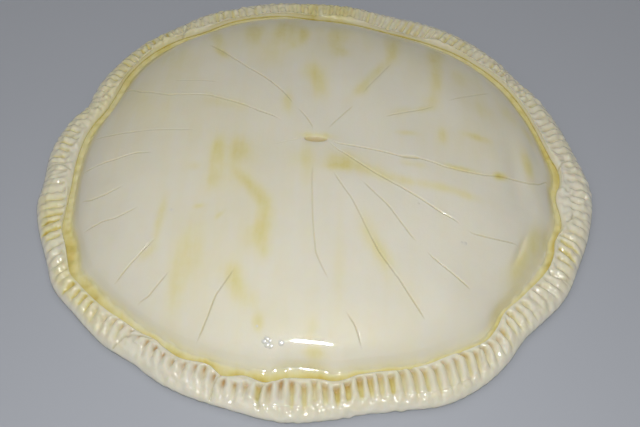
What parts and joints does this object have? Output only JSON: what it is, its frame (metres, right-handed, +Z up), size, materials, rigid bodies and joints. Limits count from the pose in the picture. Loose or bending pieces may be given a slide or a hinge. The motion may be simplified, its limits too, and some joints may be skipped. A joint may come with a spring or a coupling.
{
  "type": "unbaked galette des rois",
  "caption": "Round double-crust puff pastry pie, unbaked, with a domed lid scored in arcs around a vent and a rolled, fork-crimped rim.",
  "frame": {"origin": "on the flat base, under the vent at the lid's centre, at the height of the surface that it rests on", "axes": "+Z up out of the lid; -Y towards the side where the crimped rim is widest, +X to the right of that side seen from it"},
  "size_m": [0.297, 0.2949, 0.0337],
  "materials": {
    "dough": "raw puff pastry brushed with egg: pale cream, soft and translucent, with a wet gloss",
    "egg_wash": "wet beaten egg: clear to deep yellow where it pools, glossy"
  },
  "bodies": {
    "root": {"galette": "dough"}
  },
  "joints": []
}
